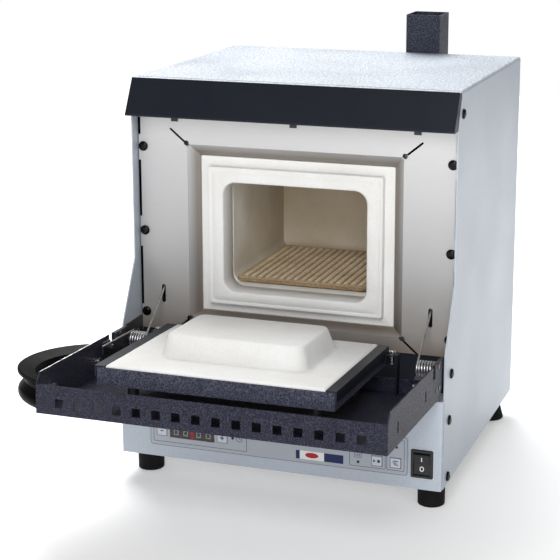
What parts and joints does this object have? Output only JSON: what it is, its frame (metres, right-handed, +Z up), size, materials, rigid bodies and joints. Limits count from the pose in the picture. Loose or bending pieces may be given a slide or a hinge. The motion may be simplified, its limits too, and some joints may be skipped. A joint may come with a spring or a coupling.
{
  "type": "benchtop chamber kiln",
  "caption": "Benchtop electric chamber kiln with a fibre-lined firing chamber, drop-down insulated tray door on sprung hinges, rear chimney and front control strip.",
  "frame": {"origin": "on the bench, under the middle of the overall length and width with the door open", "axes": "+X to the right seen from the front, +Y towards the back, +Z up"},
  "size_m": [0.4377, 0.6224, 0.5075],
  "materials": {
    "casing_paint": "fine textured powder coat",
    "dark_paint": "dark hammer-finish powder coat",
    "tray_paint": "dark grey hammer finish",
    "stainless": "brushed",
    "galvanised": "zinc plated sheet",
    "black_screw": "blackened steel",
    "plated_steel": "bright zinc plate",
    "spring_steel": "bright drawn wire",
    "white_ceramic": "chalky vacuum-formed ceramic fibre",
    "fibre_board": "soft insulating board",
    "firing_ceramic": "unglazed ribbed ceramic",
    "heater": "oxidised resistance element",
    "black_plastic": "moulded black plastic",
    "handle_plastic": "moulded heat-resistant plastic",
    "rubber": "matt",
    "overlay": "printed membrane",
    "key_white": "printed membrane key",
    "display_glass": "smoked window",
    "display": "digit module",
    "led": "translucent lens",
    "board_green": "solder resist",
    "beige_plastic": "moulded terminal block",
    "relay_alloy": "extruded heat sink",
    "core_steel": "varnished laminations"
  },
  "bodies": {
    "casing": {"casing_shell": "casing_paint", "side_screws": "black_screw", "back_panel": "casing_paint", "back_screws": "black_screw", "base_pan": "galvanised", "front_feet": "rubber", "rear_feet": "rubber", "foot_screws": "plated_steel", "visor": "dark_paint", "visor_clips": "black_plastic", "top_rail": "casing_paint", "front_plate": "stainless", "front_frame": "galvanised", "plate_screws": "black_screw", "sill_panel": "dark_paint", "control_fascia": "casing_paint", "membrane_overlay": "overlay", "display_window": "display_glass", "display_module": "display", "status_leds": "led", "switch_bezel": "black_plastic", "control_board": "board_green", "board_spacers": "plated_steel", "mouth_collar": "white_ceramic", "heating_elements": "heater", "muffle": "white_ceramic", "insulation_front": "fibre_board", "insulation_boards": "fibre_board", "insulation_sides": "fibre_board", "insulation_back": "fibre_board", "inner_case": "galvanised", "exhaust_tube": "white_ceramic", "thermocouple": "white_ceramic", "chimney": "dark_paint", "mains_inlet": "black_plastic", "terminal_block": "beige_plastic", "power_relay": "relay_alloy", "transformer": "core_steel", "hinge_brackets": "plated_steel", "hinge_pins": "plated_steel"},
    "power_rocker": {"switch_rocker": "black_plastic"},
    "minus_key": {"key_minus": "key_white"},
    "plus_key": {"key_plus": "key_white"},
    "start_key": {"key_start": "key_white"},
    "program_key": {"key_program": "key_white"},
    "plate": {"firing_plate": "firing_ceramic"},
    "door": {"door_tray": "tray_paint", "hinge_arms": "plated_steel", "arm_rivets": "plated_steel", "door_pan": "dark_paint", "retaining_rails": "dark_paint", "door_insulation": "white_ceramic", "pan_spacers": "plated_steel", "pan_clips": "plated_steel", "clip_bolts": "plated_steel", "spring_posts": "plated_steel", "spring_arms": "spring_steel", "handle": "handle_plastic", "handle_screws": "plated_steel"},
    "springs": {"door_springs": "spring_steel"}
  },
  "joints": [
    {"name": "door_hinge", "type": "hinge", "parent": "casing", "child": "door", "pos_m": [0.026, -0.07, 0.1635], "axis": [1, 0, 0], "range_deg": [-87.6, 0]},
    {"name": "spring_turn", "type": "hinge", "parent": "door", "child": "springs", "pos_m": [0.026, -0.09298, 0.16446], "axis": [-1, 0, 0], "range_deg": [-75, 0]},
    {"name": "rocker_tilt", "type": "hinge", "parent": "casing", "child": "power_rocker", "pos_m": [0.1942, -0.0995, 0.0592], "axis": [-1, 0, 0], "range_deg": [0, 13.5]},
    {"name": "plate_slide", "type": "slide", "parent": "casing", "child": "plate", "axis": [0, -1, 0], "range_m": [0, 0.15]},
    {"name": "minus_press", "type": "slide", "parent": "casing", "child": "minus_key", "axis": [0, 1, 0], "range_m": [0, 0.0004], "stiffness_N_per_m": 900},
    {"name": "plus_press", "type": "slide", "parent": "casing", "child": "plus_key", "axis": [0, 1, 0], "range_m": [0, 0.0004], "stiffness_N_per_m": 900},
    {"name": "start_press", "type": "slide", "parent": "casing", "child": "start_key", "axis": [0, 1, 0], "range_m": [0, 0.0004], "stiffness_N_per_m": 900},
    {"name": "program_press", "type": "slide", "parent": "casing", "child": "program_key", "axis": [0, 1, 0], "range_m": [0, 0.0004], "stiffness_N_per_m": 900}
  ],
  "couplings": [
    {"joint": "spring_turn", "follows": "door_hinge", "ratio": 0.8493}
  ]
}
